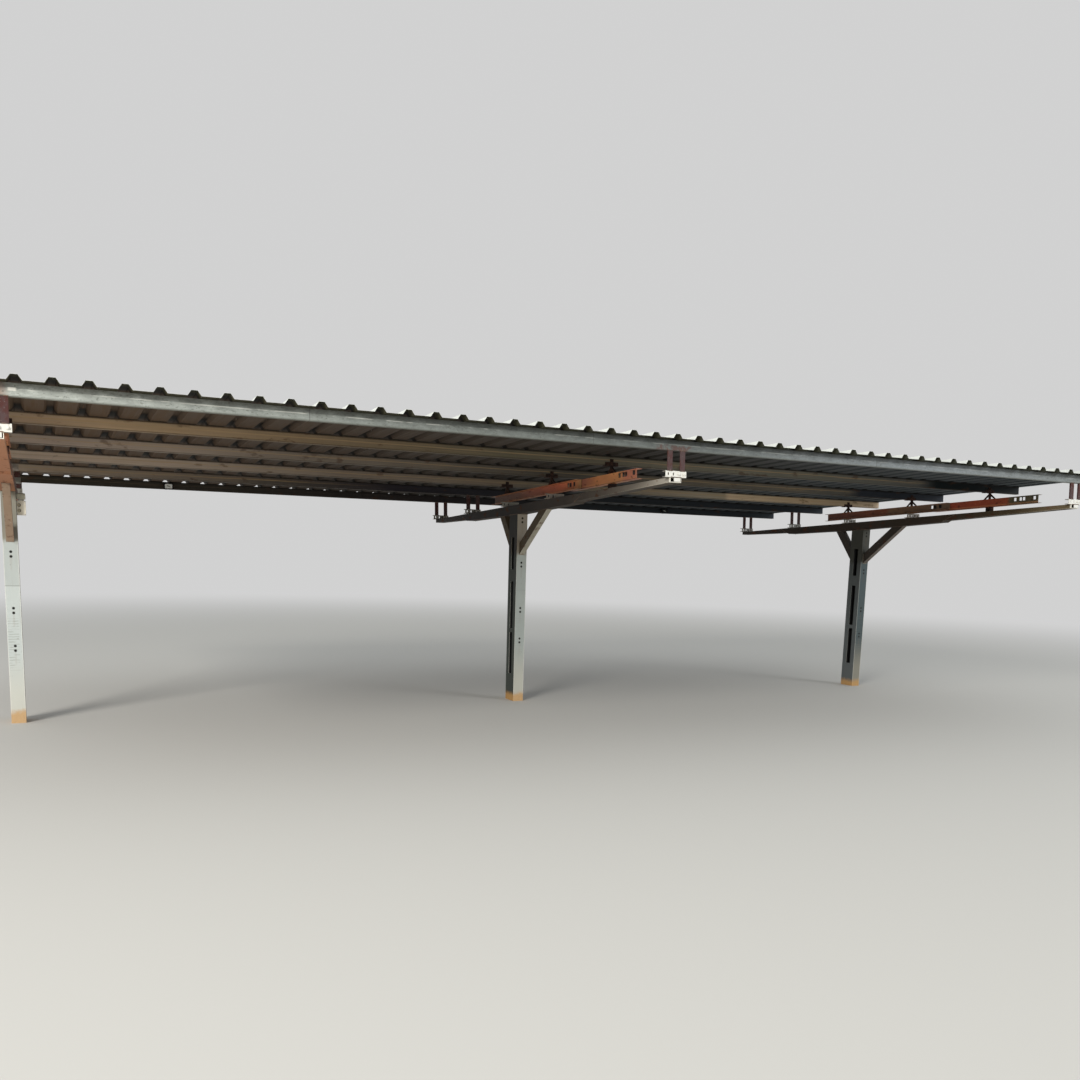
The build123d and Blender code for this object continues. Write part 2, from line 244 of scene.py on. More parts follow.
def makeColumnPaint(side):
    look = columnLook[side]
    paint = Finish(side + "ColumnPaint", **matt)
    x = paint.x - frames[side]
    cloud = paint.grain(0.25, shift=3)
    fine = paint.grain(0.012, detail=4)
    streak = paint.grain(0.02, (1, 1, 14), shift=7)
    lower = 1 - paint.ease(paint.z, *look["lower"])
    gain = look["lowerGain"]
    paint.colour = paint.shade(look["web"], 0.94 - gain / 2 + cloud * 0.14 + lower * gain)
    paint.lay((1 - paint.ease(paint.z, 0.2, 0.7)) * 0.3, "c6b9a0")
    # the webs are painted pale; the flanks at the sides are made darker, which is painted shade
    flank = paint.ease(abs(paint.facing()[0]), 0.4, 0.6)
    web = 1 - flank
    paint.lay(flank, paint.shade(look["flank"], 0.8 + cloud * 0.4))
    # painted shadow of the roof: a brown head coming down in a ragged edge
    ragged = paint.z + (paint.grain(0.09, shift=1) - 0.5) * 0.07 + abs(x) * 0.5
    roofShadow = paint.ease(ragged, *columnPlaces["dustAndShade"])
    paint.lay(roofShadow * 0.8, paint.mix(flank, look["webHead"], look["flankHead"]))
    # painted highlights along the webs' edges
    edge = paint.ease(abs(x) + (fine - 0.5) * 0.006, 0.0535, 0.058)
    paint.lay(edge * web * 0.5 * (1 - roofShadow), "e4e3da")
    # faint cross ripples between the two lowest pairs of holes
    waves = ((paint.z + paint.grain(0.07, shift=6) * 0.02) * 270).maths("SINE")
    ripples = paint.ease(waves, 0.2, 0.9) * paint.spots(0.4, 0.55, 0.05, (2, 1, 0.4), detail=2, shift=5)
    ripples = ripples * paint.band(paint.z, 0.5, 0.93, 0.03) * paint.band(x, -0.047, 0.03, 0.01) * web
    paint.lay(ripples * look["ripples"], "84877f")
    # rust weeping from the bolt holes
    weep = sum(paint.band(paint.z, height - 0.13, height - 0.02, 0.03) for height in columnPlaces["bolts"])
    weep = weep * (1 - paint.ease(abs(x) + (streak - 0.5) * 0.03, 0.002, 0.012)) * web
    paint.lay(weep * 0.12, "7a5233")
    paint.lay(paint.ease(streak, 0.58, 0.8) * 0.16, "8b7f6d")
    chips = paint.spots(0.70, 0.74, 0.02, detail=5, shift=11)
    paint.lay(chips * 0.6, "5a4536")
    # splice line on the front and rear webs
    splice = columnPlaces["splice"]
    line = paint.band(paint.z, splice - 0.0015, splice + 0.0015, 0.0012) * web
    paint.lay(line * look["splice"], "5b5850")
    # painted shade: a black ring round each hole, so that the holes read dark
    rings = 0
    for height in columnPlaces["bolts"]:
        up = abs(abs(paint.z - height) - columnPlaces["boltSpacing"] / 2)
        rings = 1 - paint.ease(x * x + up * up, 0.00012, 0.00019) + rings
    paint.lay(rings * web * 0.92, "1c1b19")
    # soil on the foot, splashed higher on one side
    soilEdge = paint.z - x * 0.12 + (paint.grain(0.03, shift=2) - 0.5) * 0.06
    soil = 1 - paint.ease(soilEdge, look["soilTop"] - 0.045, look["soilTop"] + 0.02)
    paint.lay(soil * 0.8, paint.shade("b68d56", 0.85 + fine * 0.3))
    # painted shade: near black inside the column, between its webs
    paint.lay((1 - (abs(x) > columnPlaces["webX"])) * (1 - (abs(paint.y) > columnPlaces["webY"])), "171817")
    rough = 0.52 + cloud * 0.12 + soil * 0.25 + roofShadow * 0.1
    return paint.put(rough, fine * 0.25 + chips * -0.5 - line * 1.5 + ripples * 0.3 + soil * fine, 0.0006)


# Rafters and braces: dull brown-grey paint; the rafters' tones by their run darken towards the rear, partly
# dirt and partly painted shade under the roof
steelLook = {
    "left": [(-3.09, "b08a6a"), (-2.6, "a37559"), (-1.4, "8f6350"), (-0.4, "6d5247"), (2.5, "4f413a")],
    "middle": [(-3.09, "928e85"), (-2.7, "807a71"), (-2.1, "706861"), (-1.2, "4b4541"), (0.0, "343130"),
               (2.5, "2c2927")],
    "right": [(-3.09, "5f5440"), (-2.3, "574b39"), (-1.2, "453b33"), (2.5, "332d2a")],
    "rafterUnderLightAndShade": {"left": "b98263", "middle": "47413b", "right": "3f3a34"},
    "brace": {"left": "876d5c", "middle": "4f4535", "right": "403a35"},
    "braceUnderLight": {"left": "a28c7a", "middle": "aaa79b", "right": "6e6862"},
    "tipWhite": "d8d6cc",
    "rust": "5b3a2a",
}
saddle = {"depth": 0.1, "endDepth": 0.085, "reach": 1.371, "topReach": 1.58, "taper": 0.0172}


def makeRafterPaint(side):
    paint = Finish(side + "RafterPaint", **matt)
    cloud = paint.grain(0.18, (0.5, 2.5, 0.7), shift=1)
    fine = paint.grain(0.008, detail=4)
    paint.colour = paint.shade(paint.ramp(paint.run, steelLook[side]), 0.75 + cloud * 0.5)
    # painted light and shade: the undersides get their own tone, lighter on the left frame and darker on the
    # others
    down = paint.ease(paint.facing()[2] * -1, 0.5, 0.9)
    paint.lay(down * 0.8, steelLook["rafterUnderLightAndShade"][side])
    # painted highlight along the underside's edge, which rises to the tips
    outward = abs(paint.run)
    depth = (outward - saddle["topReach"]) * saddle["taper"] - paint.level
    edge = paint.ease(depth + (fine - 0.5) * 0.008, 0.062, 0.067) * paint.ease(outward, 1.5, 1.6)
    paint.lay(edge * (1 - down) * 0.7, "b0aa9c")
    rust = paint.spots(0.56, 0.68, 0.06, (1, 2, 1), detail=6, shift=9)
    paint.lay(rust * 0.7, paint.shade(steelLook["rust"], 0.7 + fine * 0.6))
    paint.lay(paint.ease(paint.facing()[2], 0.6, 0.95) * paint.ease(cloud, 0.35, 0.6) * 0.5, "8c8272")
    # the open front end was dipped in the cleats' white
    white = 1 - paint.ease(paint.run + (fine - 0.5) * 0.01, -3.072, -3.064)
    paint.lay(white * 0.85, steelLook["tipWhite"])
    return paint.put(0.6 + rust * 0.25 + fine * 0.1, fine * 0.4 + rust * fine, 0.0008)


def makeBracePaint(side):
    paint = Finish(side + "BracePaint", **matt)
    cloud = paint.grain(0.15, shift=4)
    fine = paint.grain(0.008, detail=4)
    # painted light: the lower faces are lighter, as if lit from below
    down = paint.ease(paint.facing()[2] * -1, 0.3, 0.6)
    tone = paint.mix(down, steelLook["brace"][side], steelLook["braceUnderLight"][side])
    paint.colour = paint.shade(tone, 0.78 + cloud * 0.45)
    rust = paint.spots(0.57, 0.68, 0.05, detail=6, shift=2)
    paint.lay(rust * 0.65, paint.shade(steelLook["rust"], 0.7 + fine * 0.6))
    chips = paint.spots(0.68, 0.71, 0.025, detail=5, shift=12)
    paint.lay(chips * 0.8, "b9b4a8")
    return paint.put(0.58 + rust * 0.25, fine * 0.4 + rust * fine - chips * 0.3, 0.0008)


# Cleats and posts: white paint and red-brown primer, both worn
fittingLook = {
    "cleat": "d5d4cd",
    "innerCleatShade": "8f8d85",
    "secondCleatShade": "8f887e",
    "cleatInsideShade": "57504a",
    "post": "482a27",
    "postWorn": "4a3a3a",
    "rust": "4a2f23",
}


def makeCleatPaint():
    paint = Finish("cleatPaint")
    fine = paint.grain(0.006, detail=4)
    cloud = paint.grain(0.05, shift=2)
    # painted shade: the cleats behind the tip get a grey instead of the tip cleat's white
    atTip = 1 - paint.ease(paint.run, -2.9, -2.4)
    second = paint.band(paint.run, -0.9, -0.8, 0.02)
    inner = paint.mix(second, fittingLook["innerCleatShade"], fittingLook["secondCleatShade"])
    paint.colour = paint.mix(atTip, inner, fittingLook["cleat"])
    # painted shade: the tip's cleat is darker behind its front web, inside the channel
    behind = paint.ease(paint.run - carport["firstPurlin"], 0.007, 0.012)
    paint.lay(behind * atTip * 0.8, fittingLook["cleatInsideShade"])
    paint.colour = paint.shade(paint.colour, 0.88 + cloud * 0.2)
    paint.lay(paint.spots(0.56, 0.7, 0.012, (1, 1, 5), shift=6) * 0.35, "8e7a62")
    chips = paint.spots(0.64, 0.68, 0.012, detail=5, shift=3)
    paint.lay(chips * 0.75, paint.shade("6a4630", 0.7 + fine * 0.6))
    return paint.put(0.45 + chips * 0.4 + cloud * 0.1, fine * 0.3 - chips * 0.5, 0.0006)


def makePostPrimer():
    paint = Finish("postPrimer", **matt)
    fine = paint.grain(0.007, detail=4)
    worn = paint.spots(0.4, 0.62, 0.05, (1, 1, 1.6), shift=8)
    paint.colour = paint.mix(worn, fittingLook["post"], fittingLook["postWorn"])
    rust = paint.spots(0.56, 0.66, 0.03, detail=6, shift=5)
    paint.lay(rust * 0.6, fittingLook["rust"])
    paint.lay(paint.spots(0.62, 0.72, 0.01, detail=4, shift=1) * 0.4, "b5aaa4")
    return paint.put(0.6 + rust * 0.2, fine * 0.5 + rust * fine * 0.7, 0.0008)


# Upper beams: orange paint worn to rust, with slots torched through the webs. Both go by the run. The tones
# darken towards the rear and on the right frame, partly rust and partly painted shade under the roof.
beamLook = {
    "front": {
        "tones": [(-2.46, "e29379"), (-2.28, "df8b71"), (-2.18, "e79f68"), (-1.75, "da8e5a"),
                  (-1.5, "a5624a"), (-1.2, "945c49")],
        "slots": (-2.414, -2.280, -2.238, -2.168),
    },
    "rear": {
        "tones": [(-1.45, "b88a5a"), (-1.25, "c4764c"), (-1.0, "be6440"), (-0.5, "98543c"),
                  (0.0, "6c4633"), (0.64, "523a2e")],
        "slots": (-1.305, -1.228, -1.182),
    },
    "rightFront": {
        "tones": [(-2.64, "5e5642"), (-2.28, "62583f"), (-2.24, "a85233"), (-1.9, "b04e30"),
                  (-1.2, "a6442a")],
        "slots": (-2.594, -2.460, -2.418, -2.348),
    },
    "rightRear": {
        "tones": [(-1.45, "7a6450"), (-0.5, "7d5f45"), (-0.42, "844a30"), (0.64, "6e3c28")],
        "slots": (-1.305, -1.228, -1.182),
    },
}
beamRims = {"across": 0.0185, "low": 0.0885, "high": 0.1315, "lapStart": -1.447, "lapHalf": 0.0045}


def makeBeamPaint(name):
    paint = Finish(name + "BeamPaint")
    fine = paint.grain(0.008, detail=4)
    cloud = paint.grain(0.12, (0.6, 1.8, 0.6), shift=4)
    ragged = paint.run + (paint.grain(0.03) - 0.5) * 0.03
    paint.colour = paint.shade(paint.ramp(ragged, beamLook[name]["tones"]), 0.72 + cloud * 0.56)
    paint.lay(paint.ease(paint.facing()[2], 0.5, 0.9) * 0.35, "c98a4e")
    # painted light: the lower flange and the undersides are lighter, as if lit from below
    under = paint.ease(paint.facing()[2] * -1, 0.5, 0.9)
    low = paint.band(paint.level, 0.060, 0.072, 0.006)
    paint.lay(low * 0.35 + under * 0.5, "e09a6c")
    paint.lay(paint.band(paint.level, 0.055, 0.058, 0.002) * 0.5, "3a2018")
    # painted shade round the torch-cut slots, so that they read dark
    reach = beamRims["across"]
    slotShade = sum(paint.band(paint.run, slot - reach, slot + reach, 0.002) for slot in beamLook[name]["slots"])
    slotShade = slotShade * paint.band(paint.level, beamRims["low"], beamRims["high"], 0.002)
    paint.lay(slotShade * 0.85, "20130f")
    # painted shade in the gap between the channels where they lap, seen through the slots
    across = abs(abs(abs(paint.x) - carport["bay"] / 2) - carport["bay"] / 2)
    paint.lay((1 - (across > beamRims["lapHalf"])) * (paint.run > beamRims["lapStart"]), "1a1410")
    rust = paint.spots(0.58, 0.68, 0.045, (1, 1.8, 1), detail=6, shift=2)
    paint.lay(rust * 0.6, paint.shade("4a2f23", 0.7 + fine * 0.7))
    paint.lay(paint.spots(0.64, 0.72, 0.02, (1, 4, 0.6), detail=4, shift=6) * 0.45, "c9a27c")
    return paint.put(0.5 + rust * 0.3, fine * 0.35 + rust * fine, 0.0007)


def makeRust():
    paint = Finish("rustySteel", **matt)
    fine = paint.grain(0.005, detail=5)
    cloud = paint.grain(0.03, detail=5, shift=3)
    paint.colour = paint.mix(paint.ease(cloud, 0.4, 0.6), "2b2220", "443029")
    paint.lay(paint.spots(0.6, 0.7, 0.012, detail=4, shift=7) * 0.5, "6b4736")
    return paint.put(0.78 + fine * 0.15, fine + cloud, 0.0012)


# Purlins: galvanised and painted channels, their colours changing along the row, partly from length to length
# and partly as painted light and shade: lighter at the left end, darker and some near black at the right
purlinLook = {
    "front": [(-5.5, "7d675c"), (-4.97, "7d675c"), (-4.9, "a0a5a0"), (-2.5, "727773"), (0, "595e5c"),
              (3, "787e81"), (5.5, "767b79")],
    "second": [(-5.5, "a99789"), (-4.3, "bda588"), (-2.9, "917f68"), (-1.0, "666253"), (0.5, "7a776b"),
               (2.5, "72726a"), (3.9, "565857"), (4.15, "081315"), (5.5, "060f11")],
    "third": [(-5.5, "978b82"), (-4.9, "c0b1a6"), (-2.5, "827970"), (0, "5a5750"), (1.6, "6b665d"),
              (2.6, "6b675f"), (3.9, "5a5a56"), (4.1, "2a3039"), (5.5, "232932")],
    "fourth": [(-5.5, "a19488"), (-4.9, "dac9ba"), (-2, "887d73"), (1, "7e766a"), (2.6, "a79d8d"),
               (2.93, "a99e8c"), (2.99, "ddc8ad"), (3.9, "c9b498"), (5.5, "c6b196")],
    "fifth": [(-5.5, "8b8075"), (-4.9, "b2a394"), (-2.5, "5f5953"), (-1.0, "2d2a32"), (1.7, "282d33"),
              (5.5, "282f37")],
    "rear": [(-5.5, "413e36"), (-2.5, "36322e"), (0, "2a2628"), (2, "282d32"), (5.5, "2a3138")],
    "seams": (-3.05, -0.79, 2.21),
}


def makePurlinPaint(name):
    index = purlins.index(name)
    paint = Finish(name + "PurlinPaint", **matt)
    fine = paint.grain(0.006, detail=4)
    streak = paint.grain(0.016, (34, 1, 1), detail=4, shift=index * 3.1)
    cloud = paint.grain(0.14, (5, 1, 0.6), shift=index * 5.7)
    ragged = paint.x + (paint.grain(0.05, shift=index) - 0.5) * 0.06
    # painted light and shade: the tones along x are lighter at the left end and darker at the right
    paint.colour = paint.ramp(ragged, purlinLook[name])
    height = paint.level - carport["purlinLevel"]
    if name == "front":
        return frontPurlinZinc(paint, height, fine, streak, cloud)
    paint.colour = paint.shade(paint.colour, 0.55 + streak * 0.55 + cloud * 0.35)
    pale = paint.ease(paint.split(paint.colour)[0], 0.02, 0.12)
    warm = paint.ease(streak, 0.5, 0.66) * paint.band(height, 0.028, 0.062, 0.012)
    paint.lay(warm * pale * 0.3, "9a7c55")
    # painted highlight: a thin lighter line runs along the web; painted shadow: a dark band along the top,
    # under the sheets
    line = paint.band(height + (paint.grain(0.6, shift=index) - 0.5) * 0.012, 0.044, 0.047, 0.004)
    paint.lay(line * pale * 0.5, "b9a07a")
    paint.lay(paint.ease(height, 0.066, 0.079) * 0.85, "18130f")
    paint.lay((1 - paint.ease(height, 0.003, 0.010)) * 0.55, "3d352b")
    rust = paint.spots(0.6, 0.7, 0.07, (2.5, 1, 1), detail=6, shift=index + 2)
    paint.lay(rust * 0.5, "4d3526")
    return paint.put(0.58 + rust * 0.2, fine * 0.35 + streak * 0.4 + rust * fine, 0.0006)


def frontPurlinZinc(paint, height, fine, streak, cloud):
    # painted shadow: the upper half is darker under the roof edge; painted highlight: a bright line runs
    # below it, fainter to the right
    upper = paint.ease(height + (streak - 0.5) * 0.010, 0.044, 0.054)
    mottle = paint.grain(0.022, (2.2, 1, 0.8), detail=5, rough=0.65, shift=17)
    tone = (paint.spangle(90.0) - 0.5) * 0.1 + (cloud - 0.5) * 0.4 + (mottle - 0.5) * 0.9
    paint.colour = paint.shade(paint.colour, 1.1 - upper * 0.42 + tone)
    paint.lay(paint.spots(0.57, 0.66, 0.011, (2, 1, 1), detail=5, shift=13) * 0.5, "4c4d46")
    line = paint.band(height + (paint.grain(0.5, shift=2) - 0.5) * 0.010, 0.0425, 0.0455, 0.0035)
    line = line * paint.spots(0.46, 0.56, 0.05, (3, 1, 1), detail=6, shift=8)
    paint.lay(line * (0.7 - paint.ease(paint.x, -2.5, -0.5) * 0.45), "c9cbc4")
    paint.lay((1 - paint.ease(height, 0.004, 0.012)) * 0.4, "5f625c")
    # rust stain over the middle frame and a paint spot near the left one
    stain = paint.band(paint.x + (paint.grain(0.06) - 0.5) * 0.1, -0.16, 0.12, 0.04)
    stain = stain * paint.band(height, -0.01, 0.03, 0.02) * paint.spots(0.42, 0.56, 0.03, detail=6, shift=4)
    paint.lay(stain * 0.85, "57403a")
    paint.lay(paint.band(paint.x, -4.905, -4.875, 0.015) * paint.band(height, 0.036, 0.05, 0.006), "e8e8e0")
    seams = sum(paint.band(paint.x, place - 0.0015, place + 0.0015, 0.002) for place in purlinLook["seams"])
    paint.lay(seams * 0.6, "3a3a36")
    return paint.put(0.42 + streak * 0.25, fine * 0.2 + streak * 0.5 - seams, 0.0006)


# Roof sheets: bright zinc above; below, dark tones that are painted shade
roofLook = {
    "top": "dcdfd9",
    "dirt": "7d7666",
    "moss": "5f5c3c",
    "under": [(-5.5, "63503f"), (-2.5, "4c423b"), (0, "383532"), (2.5, "42474b"), (5.5, "424a50")],
    "hollowShade": "0d0b08",
    "seatShadow": "14100c",
    "rimShade": "3a3b2c",
}


def makeRoofZinc():
    paint = Finish("roofZinc", **matt)
    fine = paint.grain(0.01, detail=4)
    cloud = paint.grain(0.5, (1, 2.2, 1), shift=3)
    streak = paint.grain(0.05, (1, 22, 1), detail=4, shift=5)
    paint.colour = paint.shade(roofLook["top"], 0.9 + cloud * 0.14 + (paint.spangle(60.0) - 0.5) * 0.05)
    # dirt and moss gather in the pans, in streaks down the slope
    fromRib = ((paint.x - carport["ribStart"]) / carport["ribPitch"]).maths("PINGPONG", 0.5)
    pan = paint.ease(fromRib, 0.2, 0.3)
    dirt = paint.ease(streak + cloud * 0.3, 0.58, 0.82) * pan
    paint.lay(dirt * 0.5, roofLook["dirt"])
    paint.lay(paint.spots(0.63, 0.68, 0.03, detail=6, shift=1) * pan * 0.45, roofLook["moss"])
    # painted shade: the undersides take a dark tone, lighter at the left end and darkest in the middle
    under = paint.shade(paint.ramp(paint.x, roofLook["under"]), 0.7 + streak * 0.6)
    # painted shade in the ribs' hollows, darkest where a purlin crosses them, and painted shadow along each
    # purlin's seat
    run = paint.run - carport["firstPurlin"]
    fromPurlin = (run / carport["purlinPitch"]).maths("PINGPONG", 0.5)
    crossed = 1 - paint.ease(fromPurlin, 0.06, 0.2)
    inRib = 1 - paint.ease(fromRib, 0.09, 0.16)
    under = paint.mix(inRib * (0.3 + crossed * 0.65), under, roofLook["hollowShade"])
    under = paint.mix((1 - paint.ease(fromPurlin, 0.03, 0.045)) * 0.8, under, roofLook["seatShadow"])
    # painted shade under the eave, in front of the first purlin
    under = paint.mix((1 - paint.ease(run, -0.02, 0.01)) * 0.8, under, roofLook["rimShade"])
    down = 1 - paint.ease(paint.facing()[2], -0.15, 0.0)
    paint.lay(down, under)
    return paint.put(0.58 + down * 0.1 + dirt * 0.2, fine * 0.2 + streak * 0.3, 0.0006, (1 - down) * 0.15)


def dress(node, material):
    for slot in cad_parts[node].material_slots:
        slot.material = material


cleatPaint = makeCleatPaint()
postPrimer = makePostPrimer()
rustySteel = makeRust()
for side in frames:
    dress(side + "_column", makeColumnPaint(side))
    dress(side + "_rafter", makeRafterPaint(side))
    bracePaint = makeBracePaint(side)
    for end in ("front", "rear"):
        dress(side + "_" + end + "_brace", bracePaint)
    dress(side + "_cleats", cleatPaint)
    dress(side + "_posts", postPrimer)
    dress(side + "_props", rustySteel)
for end in ("front", "rear"):
    beamPaint = makeBeamPaint(end)
    for side in ("left", "middle"):
        dress(side + "_" + end + "_upper_beam", beamPaint)
    dress("right_" + end + "_upper_beam", makeBeamPaint("right" + end.title()))
for name in purlins:
    dress(name + "_purlin", makePurlinPaint(name))
roofZinc = makeRoofZinc()
for number in range(carport["sheets"]):
    dress("roof_sheet_%02d" % (number + 1), roofZinc)
print("paint and zinc on the steel")


# Making of the small pieces
def hang(name, data):
    made = bpy.data.objects.new(name, data)
    bpy.context.collection.objects.link(made)
    return made


def roundedRing(width, height, radius, steps):
    points = []
    for quarter, (sideX, sideY) in enumerate([(1, 1), (-1, 1), (-1, -1), (1, -1)]):
        for i in range(steps + 1):
            angle = math.radians(90) * (quarter + i / steps)
            across = sideX * (width / 2 - radius) + radius * math.cos(angle)
            along = sideY * (height / 2 - radius) + radius * math.sin(angle)
            points.append((across, along))
    return points


def loft(work, rings, closed=False):
    # one skin through rings of the same count; its ends are capped unless it closes on itself
    rows = [[work.verts.new(point) for point in ring] for ring in rings]
    for lower, upper in zip(rows, rows[1:] + (rows[:1] if closed else [])):
        for i in range(len(lower)):
            j = (i + 1) % len(lower)
            work.faces.new((lower[i], lower[j], upper[j], upper[i]))
    if not closed:
        work.faces.new(rows[0])
        work.faces.new(rows[-1])


def roundedLoft(work, stations, place, steps=3, closed=False):
    # stations are width, height, corner radius and depth
    rings = [[place(a, b, depth) for a, b in roundedRing(width, height, radius, steps)]
             for width, height, radius, depth in stations]
    loft(work, rings, closed)


def moved(place, across, up=0.0):
    # a way of placing points, with its middle moved
    return lambda a, b, depth: place(a + across, b + up, depth)


def settle(name, mesh, material, replaced=None):
    if not mesh.materials:
        mesh.materials.append(material)
    piece = hang(name, mesh)
    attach(piece, "root")
    if replaced:
        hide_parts(replaced)


def makePiece(name, build, material, replaced=None):
    mesh = bpy.data.meshes.new(name)
    work = bmesh.new()
    build(work)
    bmesh.ops.recalc_face_normals(work, faces=work.faces)
    work.to_mesh(mesh)
    work.free()
    settle(name, mesh, material, replaced)


# Geometry Nodes for what repeats: fixings on points and weld beads along lines
class Growth(Tree):
    # a node group that grows a guide mesh into a plain mesh
    def __init__(self, name, sizes):
        self.group = bpy.data.node_groups.new(name, "GeometryNodeTree")
        super().__init__(self.group)
        ends = self.group.interface
        ends.new_socket(name="Geometry", in_out="OUTPUT", socket_type="NodeSocketGeometry")
        kinds = {"Geometry": "Geometry", "Seed": "Int", "Material": "Material"}
        kinds.update(dict.fromkeys(sizes, "Float"))
        for label, kind in kinds.items():
            ends.new_socket(name=label, in_out="INPUT", socket_type="NodeSocket" + kind)
        self.entry = self.node("NodeGroupInput").socket.node

    def value(self, label):
        return Wire(self, self.entry.outputs[label])

    def finish(self, geometry):
        real = self.node("GeometryNodeRealizeInstances", {"Geometry": geometry})
        painted = self.node("GeometryNodeSetMaterial", {"Geometry": real, "Material": self.value("Material")})
        leave = self.nodeTree.nodes.new("NodeGroupOutput")
        self.nodeTree.links.new(painted.socket, leave.inputs["Geometry"])

    def grow(self, name, guide, material, slot, values):
        holder = hang(name + "Guide", guide)
        modifier = holder.modifiers.new("growth", "NODES")
        modifier.node_group = self.group
        wanted = dict(values, Material=material)
        for item in self.group.interface.items_tree:
            if item.in_out == "INPUT" and item.name in wanted:
                modifier[item.identifier] = wanted[item.name]
        graph = bpy.context.evaluated_depsgraph_get()
        mesh = bpy.data.meshes.new_from_object(holder.evaluated_get(graph), depsgraph=graph)
        holder.modifiers.remove(modifier)
        bpy.data.objects.remove(holder)
        mesh.name = name
        settle(name, mesh, material)


fixingSizes = ("Head Width", "Head Height", "Washer Width", "Washer Height", "Stem Width", "Stem Length")


def fixing(seed, *sizes):
    return dict(zip(fixingSizes, sizes), Seed=seed)


def makeFixings():
    tree = Growth("fixings", fixingSizes)
    parts = []
    rise = tree.value("Washer Height")
    for sides, width, height, middle in [
        (6, "Head Width", "Head Height", rise + tree.value("Head Height") * 0.5),
        (12, "Washer Width", "Washer Height", rise * 0.5),
        (6, "Stem Width", "Stem Length", tree.value("Stem Length") * -0.5),
    ]:
        sockets = {"Vertices": sides, "Radius": tree.value(width) * 0.5, "Depth": tree.value(height)}
        part = tree.node("GeometryNodeMeshCylinder", sockets)
        lift = tree.node("ShaderNodeCombineXYZ", {"Z": middle})
        parts.append(tree.node("GeometryNodeTransform", {"Geometry": part, "Translation": lift}))
    whole = tree.node("GeometryNodeJoinGeometry", {"Geometry": parts})
    aim = tree.node("GeometryNodeInputNamedAttribute", {"Name": "aim"}, data_type="FLOAT_VECTOR")
    facing = tree.node("FunctionNodeAlignRotationToVector", {"Vector": aim}, axis="Z")
    sockets = {3: math.tau, "Seed": tree.value("Seed")}
    chance = tree.node("FunctionNodeRandomValue", sockets, 1, data_type="FLOAT")
    spin = tree.node("FunctionNodeAxisAngleToRotation", {"Axis": (0, 0, 1), "Angle": chance})
    sockets = {"Rotation": facing, "Rotate By": spin}
    turn = tree.node("FunctionNodeRotateRotation", sockets, rotation_space="LOCAL")
    places = {"Points": tree.value("Geometry"), "Instance": whole, "Rotation": turn}
    tree.finish(tree.node("GeometryNodeInstanceOnPoints", places))
    return tree


def makeWelds():
    tree = Growth("welds", ("Bead Width", "Step", "Ripple"))
    line = tree.node("GeometryNodeMeshToCurve", {"Mesh": tree.value("Geometry")})
    sockets = {"Curve": line, "Length": tree.value("Step")}
    line = tree.node("GeometryNodeResampleCurve", sockets, mode="LENGTH")
    sockets = {"Vector": tree.node("GeometryNodeInputPosition"), "W": tree.value("Seed"), "Scale": 160.0}
    noise = tree.node("ShaderNodeTexNoise", sockets, noise_dimensions="4D")
    radius = tree.value("Bead Width") * 0.5 * (1 + (noise - 0.5) * tree.value("Ripple"))
    outline = tree.node("GeometryNodeCurvePrimitiveCircle", {"Resolution": 6, "Radius": 1.0})
    bead = {"Curve": line, "Profile Curve": outline, "Scale": radius, "Fill Caps": True}
    tree.finish(tree.node("GeometryNodeCurveToMesh", bead))
    return tree


def pointGuide(spots):
    # points, each with the way that a fixing's head faces
    guide = bpy.data.meshes.new("pointGuide")
    guide.from_pydata([place for place, aim in spots], [], [])
    aims = guide.attributes.new("aim", "FLOAT_VECTOR", "POINT")
    for item, (place, aim) in zip(aims.data, spots):
        item.vector = aim
    return guide


def lineGuide(lines):
    # lines are lists of points and whether they close
    guide = bpy.data.meshes.new("lineGuide")
    points = []
    edges = []
    for line, closed in lines:
        first = len(points)
        points += line
        edges += [(first + i, first + i + 1) for i in range(len(line) - 1)]
        if closed:
            edges.append((len(points) - 1, first))
    guide.from_pydata(points, edges, [])
    return guide


# Roof screws: in the pans over each purlin, and through the crowns where sheets lap
roofScrews = {
    "pan": fixing(4, 0.008, 0.005, 0.017, 0.002, 0.005, 0.022),
    "lap": fixing(9, 0.008, 0.005, 0.017, 0.002, 0.005, 0.022),
    "behindWeb": 0.023,
    "lapPitch": 0.551,
    "lapCount": 10,
}


def makeRoofScrews():
    level = carport["sheetLevel"] + carport["sheetThickness"]
    spots = []
    for index in range(len(purlins)):
        # in every pan at the front and the rear, in every other one between
        step = 1 if index in (0, len(purlins) - 1) else 2
        for k in range(0, carport["ribs"], step):
            x = carport["ribStart"] + carport["ribPitch"] * (k + 0.5)
            spots.append((onSlope(x, purlinRun(index) + roofScrews["behindWeb"], level), upward))
    fixings.grow("roof_screws", pointGuide(spots), screwZinc, "roof_zinc", roofScrews["pan"])
    level = carport["sheetLevel"] + carport["ribHeight"] + 2 * carport["sheetThickness"]
    spots = []
    for k in range(carport["ribsPerSheet"], carport["ribs"], carport["ribsPerSheet"]):
        for i in range(roofScrews["lapCount"]):
            run = purlinRun(0) + roofScrews["lapPitch"] * (i + 0.5)
            spots.append((onSlope(carport["ribStart"] + carport["ribPitch"] * k, run, level), upward))
    fixings.grow("lap_screws", pointGuide(spots), screwZinc, "roof_zinc", roofScrews["lap"])


